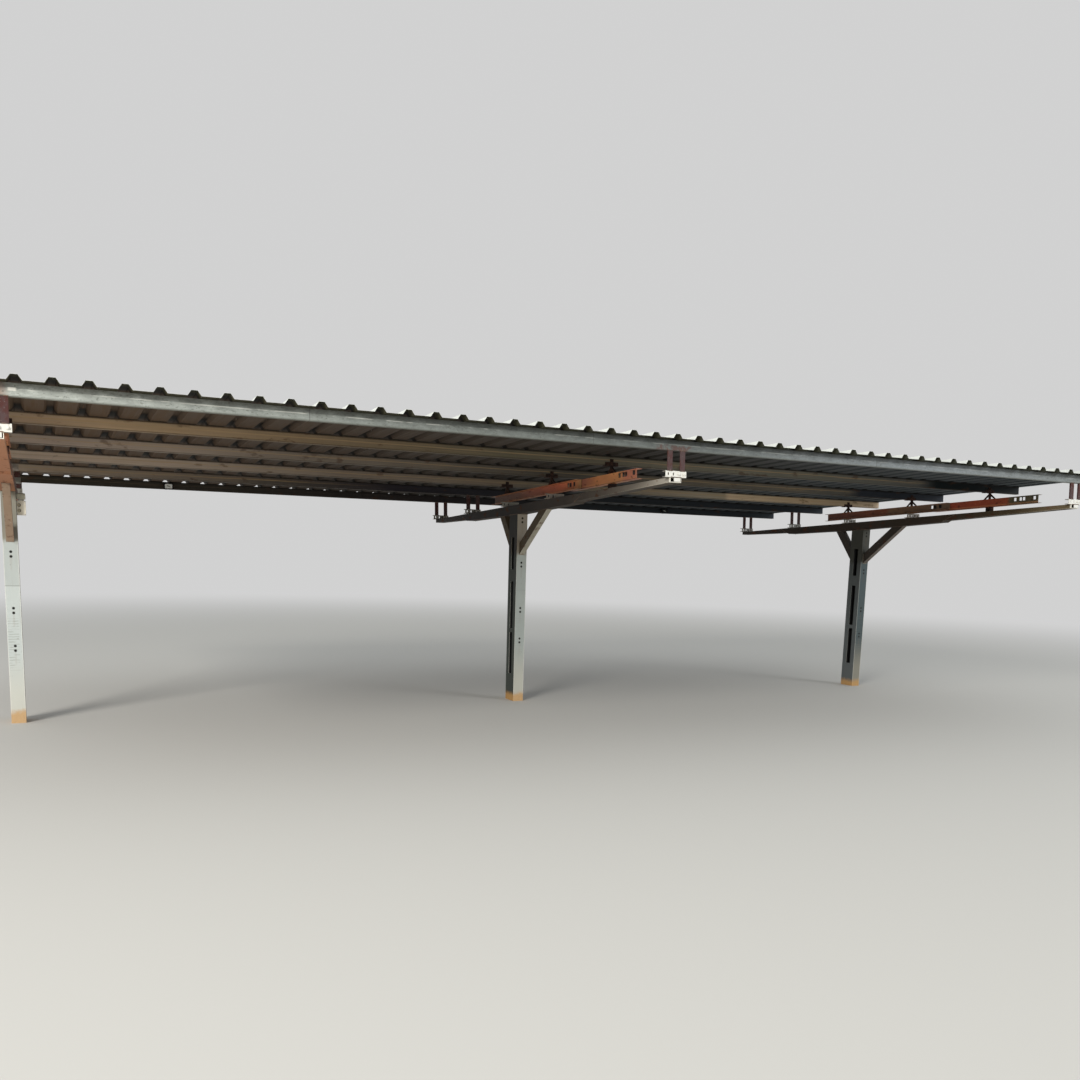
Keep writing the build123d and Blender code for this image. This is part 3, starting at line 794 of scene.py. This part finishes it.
# Bolts in the cleats' slots and through the props; in the column's holes, near black plugs are painted shade
bolts = {
    "cleat": fixing(2, 0.019, 0.009, 0.028, 0.0025, 0.012, 0.02),
    "prop": fixing(6, 0.019, 0.009, 0.028, 0.0025, 0.012, 0.02),
    "cut": fixing(7, 0.007, 0.0006, 0.0138, 0.002, 0.011, 0.004),
    "slotPitch": 0.05075,
    "propFace": 0.010,
    "propLevel": 0.252,
    "cutReach": 0.1005,
}
cleatPlaces = [-3.089, -0.885, 0.217, 1.319, 2.416]
propPlaces = [(-1.987, 0.019), (-0.885, -0.043), (0.217, -0.043)]


def makeBolts(side):
    middle = frames[side]
    spots = [(onSlope(middle + step * bolts["slotPitch"], run, carport["cleatHeight"] / 2), forward)
             for run in cleatPlaces for step in (0.5, 1.5)]
    fixings.grow(side + "_cleat_bolts", pointGuide(spots), cleatPaint, "cleat_white", bolts["cleat"])
    spots = [(onSlope(middle + x, run - bolts["propFace"], bolts["propLevel"]), forward)
             for run, x in propPlaces]
    fixings.grow(side + "_prop_bolts", pointGuide(spots), rustySteel, "rusty_steel", bolts["prop"])
    # painted shade: near black plugs sit just inside the column's holes, so that the holes read dark
    spots = []
    for height in columnPlaces["bolts"]:
        for up in (-0.5, 0.5):
            for way in (-1, 1):
                place = (middle, way * bolts["cutReach"], height + up * columnPlaces["boltSpacing"])
                spots.append((Vector(place), Vector((0, way, 0))))
    fixings.grow(side + "_cut_bolts", pointGuide(spots), cutBlack, "rusty_steel", bolts["cut"])


# Clamp plates that hook each prop to the purlin's lower edge, one on each side of the flat
clamp = {
    "near": 0.018,
    "far": 0.068,
    "top": 0.247,
    "bottom": 0.2125,
    "thick": 0.006,
    "reach": 0.05,
    "nose": 0.003,
}


def makeClamps(side):
    thick, reach, top, nose = (clamp[key] for key in ("thick", "reach", "top", "nose"))
    level = carport["purlinLevel"]

    def build(work):
        for run, x in propPlaces:
            outline = [
                (run - thick, clamp["bottom"]), (run + reach, clamp["bottom"]), (run + reach, level),
                (run, level), (run, top - nose), (run - nose, top), (run - thick, top - nose),
            ]
            for way in (-1, 1):
                ends = [frames[side] + x + way * end for end in (clamp["near"], clamp["far"])]
                loft(work, [[onSlope(end, *corner) for corner in outline] for end in ends])

    makePiece(side + "_clamps", build, rustySteel)


# Welds of one frame: braces, posts, column head, cleats and the saddle's ends
weldLook = {"Bead Width": 0.008, "Step": 0.006, "Ripple": 0.9}
joints = {
    "posts": [-3.089, 1.319, 2.416],
    "postCorners": (-0.037, 0.087),
    "postLeg": 0.05,
    "braceHalf": 0.03,
    "braceDepth": 0.1,
    "braceFeet": {-1: (1.63, 0.755), 1: (1.64, 0.44)},
    "columnHalf": (0.06, 0.105),
    "cleatDepth": 0.05,
    "cleatHalf": 0.052,
    "armHalf": 0.0575,
}


def saddleLevel(run):
    halfY = joints["columnHalf"][1]
    share = (abs(run) - halfY) / (saddle["reach"] - halfY)
    return (saddle["depth"] - saddle["endDepth"]) * share - saddle["depth"]


def crossing(start, along, first, second):
    # where a line in the frame's plane meets the line through two points
    side = second - first
    gap = first - start
    return start + along * ((gap.x * side.y - gap.y * side.x) / (along.x * side.y - along.y * side.x))


def braceLines(middle):
    lines = []
    half = joints["braceHalf"]
    depth = joints["braceDepth"]
    for way, (foot, reach) in joints["braceFeet"].items():
        head = onSlope(0, way * reach, saddleLevel(reach)).yz
        start = Vector((way * joints["columnHalf"][1], foot))
        along = (head - start).normalized()
        inward = Vector((-way * along.y, abs(along.x)))
        far = onSlope(0, way * 0.2, saddleLevel(0.2)).yz
        upperHead = crossing(start + inward * depth, along, far, head)
        upperFoot = Vector((start.x, foot + depth / abs(along.x)))
        for low, high in [(start, upperFoot), (head, upperHead)]:
            corners = [(-half, low), (half, low), (half, high), (-half, high)]
            lines.append(([(middle + x, spot.x, spot.y) for x, spot in corners], True))
    return lines


def makeFrameWelds(side):
    middle = frames[side]
    lines = braceLines(middle)
    leg = joints["postLeg"]
    for run in joints["posts"]:
        for corner in joints["postCorners"]:
            outer = middle + corner
            for level in (carport["cleatHeight"], carport["purlinLevel"]):
                angle = [(outer, run + leg), (outer, run), (outer - leg, run)]
                lines.append(([onSlope(x, place, level) for x, place in angle], False))
    halfX, halfY = joints["columnHalf"]
    drop = saddle["depth"]
    around = [(-halfX, -halfY), (halfX, -halfY), (halfX, halfY), (-halfX, halfY)]
    lines.append(([onSlope(middle + x, (y + drop * slopeSin) / slopeCos, -drop) for x, y in around], True))
    half = joints["cleatHalf"]
    for run in cleatPlaces:
        for edge in (run, run + joints["cleatDepth"]):
            lines.append(([onSlope(middle - half, edge, 0), onSlope(middle + half, edge, 0)], False))
    for x in (middle - joints["armHalf"], middle + joints["armHalf"]):
        for way in (-1, 1):
            top = onSlope(x, way * saddle["topReach"], -0.002)
            lines.append(([top, onSlope(x, way * saddle["reach"], -saddle["endDepth"])], False))
    values = dict(weldLook, Seed=len(side))
    welds.grow(side + "_welds", lineGuide(lines), weldSteel, "rafter_paint", values)


# Floodlights on the rear purlin: ribbed black housing, bezel, lens and a strap with pivot bolts
floodlight = {
    "places": {"left": -3.387, "right": 3.464},
    "level": 0.2495,
    "back": 0.012,
    "front": 0.044,
    "lens": {"left": "f6fbfd", "right": "1e2124"},
    "chip": {"left": "4c4f4d", "right": "b9bdb8"},
    "fins": 11,
    "finPitch": 0.0085,
    "gap": 0.018,
    "strap": 0.0545,
    "pivot": 0.0565,
    "pivotBolt": fixing(5, 0.009, 0.004, 0.013, 0.001, 0.005, 0.006),
}


def makeFloodlight(side):
    centre = floodlight["places"][side]
    back = floodlight["back"]
    front = floodlight["front"]

    def place(a, b, depth):
        return onSlope(centre + a, purlinRun(5) - depth, floodlight["level"] + b)

    def buildHousing(work):
        roundedLoft(work, [
            (0.080, 0.052, 0.006, back - 0.002), (0.084, 0.056, 0.007, back),
            (0.092, 0.064, 0.008, back + 0.012), (0.103, 0.073, 0.009, back + 0.015),
            (0.105, 0.075, 0.010, back + 0.018), (0.105, 0.075, 0.010, front - 0.003),
            (0.102, 0.072, 0.009, front),
            (0.084, 0.056, 0.013, front), (0.082, 0.054, 0.012, front - 0.004),
        ], place)
        # cooling fins behind, clear of the strap's foot
        fin = [(0.002, 0.046, 0.0008, 0.003), (0.0028, 0.05, 0.0008, back + 0.001)]
        for i in range(floodlight["fins"]):
            offset = (i - (floodlight["fins"] - 1) / 2) * floodlight["finPitch"]
            if abs(offset) > floodlight["gap"]:
                roundedLoft(work, fin, moved(place, offset), steps=1)
        # strap from the purlin to both pivots
        for way in (-1, 1):
            arm = [(0.004, 0.02, 0.001, 0.0005), (0.004, 0.02, 0.001, 0.031)]
            roundedLoft(work, arm, moved(place, way * floodlight["strap"]), steps=1)
        roundedLoft(work, [(0.113, 0.02, 0.001, 0.0), (0.113, 0.02, 0.001, 0.003)], place, steps=1)
        # cable gland under the housing
        gland = [(0.012, 0.012, 0.0059, -0.004), (0.012, 0.012, 0.0059, 0.004), (0.009, 0.009, 0.0044, 0.006)]
        roundedLoft(work, gland, lambda a, b, depth: place(a - 0.03, -0.034 - depth, 0.028 + b))

    def buildLens(work):
        roundedLoft(work, [
            (0.082, 0.054, 0.012, front - 0.006), (0.082, 0.054, 0.012, front - 0.003),
            (0.080, 0.052, 0.012, front - 0.002),
        ], place)

    name = side + "_floodlight"
    makePiece(name + "_housing", buildHousing, lampBlack, name)
    makePiece(name + "_lens", buildLens, makeLens(side, centre))
    spots = [(place(way * floodlight["pivot"], 0, 0.026), Vector((way, 0, 0))) for way in (-1, 1)]
    fixings.grow(name + "_pivots", pointGuide(spots), screwZinc, "light_black", floodlight["pivotBolt"])


def makeLens(side, centre):
    paint = Finish(side + "LensGlass", **{"Coat Weight": 0.6})
    height = paint.level - floodlight["level"]
    across = paint.x - centre
    paint.colour = paint.shade(floodlight["lens"][side], 0.86 + paint.grain(0.03, shift=2) * 0.28)
    # the light chip behind the frosted pane
    chip = paint.band(across, -0.018, 0.018, 0.005) * paint.band(height + across * 0.3, -0.004, 0.004, 0.003)
    paint.lay(chip * 0.7, floodlight["chip"][side])
    paint.lay(paint.ease(abs(height), 0.021, 0.026) * 0.3, "55595a")
    grime = paint.spots(0.6, 0.72, 0.008, detail=5, shift=6)
    paint.lay(grime * 0.3, "4a4438")
    return paint.put(0.2 + grime * 0.4)


# Socket box with two sockets, under a rounded rain hood, on the left column
socketBox = {
    "x": -4.9025,
    "z": 1.929,
    "face": 0.035,
    "socketPitch": 0.048,
    "socketShift": -0.017,
    "pins": 0.0075,
    "earths": 0.0135,
    "screws": (0.0305, 0.057),
    "screw": fixing(8, 0.007, 0.0014, 0.008, 0.0006, 0.003, 0.004),
}
hood = {"x": -4.9025, "bottom": 2.006, "top": 2.06}


def boxPlace(a, b, depth):
    return Vector((socketBox["x"] + a, -depth, socketBox["z"] + b))


def makeSocketBox():
    face = socketBox["face"]
    sockets = [moved(boxPlace, socketBox["socketShift"], step * socketBox["socketPitch"])
               for step in (-0.5, 0.5)]

    def build(work):
        roundedLoft(work, [
            (0.071, 0.124, 0.004, -0.040), (0.075, 0.128, 0.006, -0.038), (0.075, 0.128, 0.006, 0.0195),
            (0.0728, 0.1258, 0.005, 0.0200), (0.0728, 0.1258, 0.005, 0.0215), (0.075, 0.128, 0.006, 0.0220),
            (0.075, 0.128, 0.006, face - 0.003), (0.073, 0.126, 0.006, face - 0.0008),
            (0.070, 0.123, 0.005, face),
        ], boxPlace, steps=4)
        for place in sockets:
            roundedLoft(work, [
                (0.038, 0.038, 0.0185, face - 0.001), (0.037, 0.037, 0.0180, 0.0392),
                (0.0355, 0.0355, 0.0172, 0.040), (0.0325, 0.0325, 0.0158, 0.040),
                (0.0315, 0.0315, 0.0153, 0.0392), (0.031, 0.031, 0.0150, face - 0.001),
            ], place, steps=7, closed=True)

    def buildWells(work):
        well = [(0.0312, 0.0312, 0.0151, face), (0.0312, 0.0312, 0.0151, face + 0.0005)]
        pin = [(0.005, 0.005, 0.0024, face), (0.005, 0.005, 0.0024, face + 0.001)]
        earth = [(0.004, 0.0025, 0.001, face), (0.004, 0.0025, 0.001, face + 0.0035)]
        for place in sockets:
            roundedLoft(work, well, place, steps=7)
            for way in (-1, 1):
                roundedLoft(work, pin, moved(place, way * socketBox["pins"]))
                roundedLoft(work, earth, moved(place, 0.0, way * socketBox["earths"]), steps=1)

    makePiece("socket_box_body", build, socketCream, "socket_box")
    makePiece("socket_wells", buildWells, wellPaint)
    across, up = socketBox["screws"]
    corners = [(-across, -up), (-across, up), (across, -up), (across, up)]
    spots = [(boxPlace(a, b, face), Vector((0, -1, 0))) for a, b in corners]
    fixings.grow("socket_lid_screws", pointGuide(spots), screwZinc, "socket_cream", socketBox["screw"])


def makeHood():
    bottom = hood["bottom"]
    top = hood["top"]

    def place(a, b, height):
        return Vector((hood["x"] + a, b, height))

    def build(work):
        roundedLoft(work, [
            (0.062, 0.068, 0.008, top - 0.008), (0.070, 0.075, 0.006, top - 0.018),
            (0.071, 0.076, 0.005, bottom + 0.008), (0.0712, 0.0762, 0.005, bottom),
            (0.075, 0.080, 0.007, bottom), (0.075, 0.080, 0.007, bottom + 0.006),
            (0.0742, 0.0792, 0.007, bottom + 0.009), (0.0742, 0.0792, 0.008, top - 0.018),
            (0.071, 0.076, 0.010, top - 0.008), (0.063, 0.068, 0.012, top - 0.0025),
            (0.050, 0.056, 0.014, top),
        ], place, steps=5)

    makePiece("rain_hood", build, hoodPaint, "socket_hood")


def makeLampBlack():
    paint = Finish("lampBlack", **matt)
    fine = paint.grain(0.003, detail=4)
    dustAndShade = paint.ease(paint.facing()[2], 0.1, 0.9) * paint.spots(0.3, 0.6, 0.02, shift=1)
    paint.colour = paint.shade("111214", 0.8 + fine * 0.4)
    paint.lay(dustAndShade * 0.6, "45423c")
    return paint.put(0.45 + dustAndShade * 0.4 + fine * 0.1, fine, 0.0003)


# painted shade: a near black for the plugs in the column's holes
def makeHoleShadeBlack():
    paint = Finish("cutBlack", **matt)
    fine = paint.grain(0.002, detail=4)
    paint.colour = paint.shade("191614", 0.7 + fine * 0.6)
    return paint.put(0.8 + fine * 0.1, fine, 0.0002)


def makeScrewZinc():
    paint = Finish("screwZinc")
    fine = paint.grain(0.002, detail=4)
    rust = paint.ease(paint.grain(0.4, detail=2, shift=5) + fine * 0.3, 0.62, 0.74)
    paint.colour = paint.shade("9b9d98", 0.8 + fine * 0.4)
    paint.lay(rust * 0.8, "70472f")
    return paint.put(0.38 + rust * 0.4, fine, 0.0002, 0.7 - rust * 0.6)


def makeWeldSteel():
    paint = Finish("weldSteel")
    fine = paint.grain(0.004, detail=4)
    patch = paint.spots(0.42, 0.6, 0.03, shift=4)
    paint.colour = paint.mix(patch, "4d443e", "6e5546")
    # those low on the columns were painted over
    paint.lay((1 - paint.ease(paint.z, 1.85, 1.9)) * 0.8, "8d8578")
    paint.lay(paint.ease(fine, 0.55, 0.7) * 0.6, "8f877c")
    return paint.put(0.55 + patch * 0.25, fine, 0.0008)


def makeSocketCream():
    paint = Finish("socketCream")
    fine = paint.grain(0.004, detail=4)
    paint.colour = paint.shade("faf4e4", 0.96 + paint.grain(0.05, shift=2) * 0.12)
    streak = paint.spots(0.52, 0.7, 0.008, (1, 1, 8), shift=4)
    paint.lay(streak * 0.3, "8d8164")
    # the seam between box and lid, and grooves down the lid beside the sockets
    paint.lay(paint.band(paint.y * -1, 0.0192, 0.0222, 0.0006) * 0.6, "4e4636")
    across = paint.x - socketBox["x"]
    grooves = paint.band(across, 0.0135, 0.0145, 0.001) + paint.band(across, 0.0205, 0.0215, 0.001)
    grooves = grooves * paint.ease(paint.y * -1, 0.030, 0.032)
    paint.lay(grooves * 0.55, "6e6650")
    paint.lay(paint.spots(0.66, 0.72, 0.006, detail=5, shift=7) * 0.4, "6b6048")
    return paint.put(0.45 + streak * 0.2, fine - grooves * 2, 0.0002)


def makeWellPaint():
    paint = Finish("wellPaint")
    fine = paint.grain(0.004, detail=3)
    proud = paint.ease(paint.y * -1 - socketBox["face"], 0.0006, 0.0009)
    paint.colour = paint.shade("cfc5ab", 0.85 + fine * 0.3)
    # painted shadow in the wells' upper and outer rims
    across = paint.x - (socketBox["x"] + socketBox["socketShift"])
    up = abs(paint.z - socketBox["z"]) - socketBox["socketPitch"] / 2
    rimShade = paint.ease(across * across + up * up, 0.00009, 0.00017) * paint.ease(across, -0.012, 0.002)
    paint.lay(rimShade * 0.9, "332c22")
    # painted shade: the proud pin discs and earth clips are near black, standing in for the shade in the
    # socket's holes
    paint.lay(proud, "2b2620")
    return paint.put(0.5 + fine * 0.1)


def makeHoodPaint():
    paint = Finish("hoodPaint")
    fine = paint.grain(0.005, detail=4)
    paint.colour = paint.shade("c6c4b2", 0.9 + paint.grain(0.04, shift=3) * 0.3)
    paint.lay(paint.ease(paint.facing()[2], 0.3, 0.9) * 0.5, "86826c")
    lichen = paint.spots(0.6, 0.68, 0.009, detail=5, shift=5)
    paint.lay(lichen * 0.4, "a39f84")
    return paint.put(0.6 + lichen * 0.2, fine, 0.0003)


fixings = makeFixings()
welds = makeWelds()
lampBlack = makeLampBlack()
cutBlack = makeHoleShadeBlack()
screwZinc = makeScrewZinc()
weldSteel = makeWeldSteel()
socketCream = makeSocketCream()
wellPaint = makeWellPaint()
hoodPaint = makeHoodPaint()
makeRoofScrews()
for side in frames:
    makeBolts(side)
    makeClamps(side)
    makeFrameWelds(side)
print("screws, bolts, clamps and welds set")
for side in floodlight["places"]:
    makeFloodlight(side)
makeSocketBox()
makeHood()
print("floodlights, socket box and hood built")

# Floor, lights and camera
studio = {
    "floor": "c6c4be",
    "bounce": "cdc6b9",
    "floorReach": 60.0,
    "fade": (9.0, 24.0),
    "sky": (0.93, 0.97, 1.0, 1),
    "skyLight": 0.6,
    "backdrop": 0.64,
    "lampSize": 9.0,
}
camera = {
    "place": (-4.7887, -10.3013, 1.7036),
    "turn": (26.4226, 8.5213, 1.6484),
    "lens": 33.703,
    "sensor": 36.0,
    "shift": 160 / 1080,
    "farthest": 300.0,
}


def seenDirectly(tree):
    # 1 where the camera, a reflection or a look through glass meets the surface
    outputs = tree.node("ShaderNodeLightPath").socket.node.outputs
    seen = [Wire(tree, outputs[name]) for name in ("Is Camera Ray", "Is Glossy Ray", "Is Transmission Ray")]
    return tree.node("ShaderNodeMath", {0: seen[0] + seen[1], 1: seen[2]}, operation="ADD", use_clamp=True)


def makeFloor():
    mesh = bpy.data.meshes.new("floor")
    half = studio["floorReach"]
    corners = [(-half, -half, 0), (half, -half, 0), (half, half, 0), (-half, half, 0)]
    mesh.from_pydata(corners, [], [(0, 1, 2, 3)])
    floor = hang("floor", mesh)
    look = Finish("floorPaint", Roughness=0.9)
    seen = seenDirectly(look)
    far = look.node("ShaderNodeVectorMath", {0: look.place}, "Value", operation="LENGTH")
    fade = look.ease(far, *studio["fade"])
    # the floor looks pale to the camera, and throws a weaker warm light on the steel
    look.colour = look.mix(seen, studio["bounce"], studio["floor"])
    look.put()
    white = look.node("ShaderNodeEmission", {"Color": (1, 1, 1, 1), "Strength": studio["backdrop"]})
    sockets = {0: fade * seen, 1: Wire(look, look.shader.outputs[0]), 2: white}
    body = look.node("ShaderNodeMixShader", sockets)
    look.nodeTree.links.new(body.socket, look.nodeTree.nodes["Material Output"].inputs["Surface"])
    mesh.materials.append(look.material)


def makeWorld():
    world = bpy.data.worlds.new("studioWorld")
    bpy.context.scene.world = world
    world.use_nodes = True
    sky = Tree(world.node_tree)
    world.node_tree.nodes.clear()
    light = sky.node("ShaderNodeBackground", {"Color": studio["sky"], "Strength": studio["skyLight"]})
    white = sky.node("ShaderNodeBackground", {"Color": (1, 1, 1, 1), "Strength": studio["backdrop"]})
    both = sky.node("ShaderNodeMixShader", {0: seenDirectly(sky), 1: light, 2: white})
    output = world.node_tree.nodes.new("ShaderNodeOutputWorld")
    world.node_tree.links.new(both.socket, output.inputs["Surface"])


def makeLamp(name, place, target, power, colour):
    lamp = bpy.data.lights.new(name, "AREA")
    lamp.shape = "DISK"
    lamp.size = studio["lampSize"]
    lamp.energy = power
    lamp.color = colour
    holder = hang(name, lamp)
    holder.location = place
    holder.rotation_euler = (Vector(target) - Vector(place)).to_track_quat("-Z", "Y").to_euler()


def makeCamera():
    data = bpy.data.cameras.new("camera")
    data.lens = camera["lens"]
    data.sensor_width = camera["sensor"]
    data.shift_y = camera["shift"]
    data.clip_end = camera["farthest"]
    holder = hang("camera", data)
    yaw, pitch, roll = (math.radians(angle) for angle in camera["turn"])
    ahead = Vector((math.sin(yaw) * math.cos(pitch), math.cos(yaw) * math.cos(pitch), -math.sin(pitch)))
    level = Vector((math.cos(yaw), -math.sin(yaw), 0))
    above = level.cross(ahead)
    right = level * math.cos(roll) + above * math.sin(roll)
    up = above * math.cos(roll) - level * math.sin(roll)
    turn = Matrix((right, up, -ahead)).transposed().to_4x4()
    holder.matrix_world = Matrix.Translation(camera["place"]) @ turn
    bpy.context.scene.camera = holder


makeFloor()
makeWorld()
makeLamp("keyLamp", (-19, -16, 10), (0, -1, 1.8), 5600, (1.0, 0.97, 0.92))
makeLamp("fillLamp", (13, -16, 7), (1, -1, 1.5), 1300, (0.93, 0.96, 1.0))
makeCamera()
bpy.context.scene.view_settings.view_transform = "Standard"
print("studio set up")
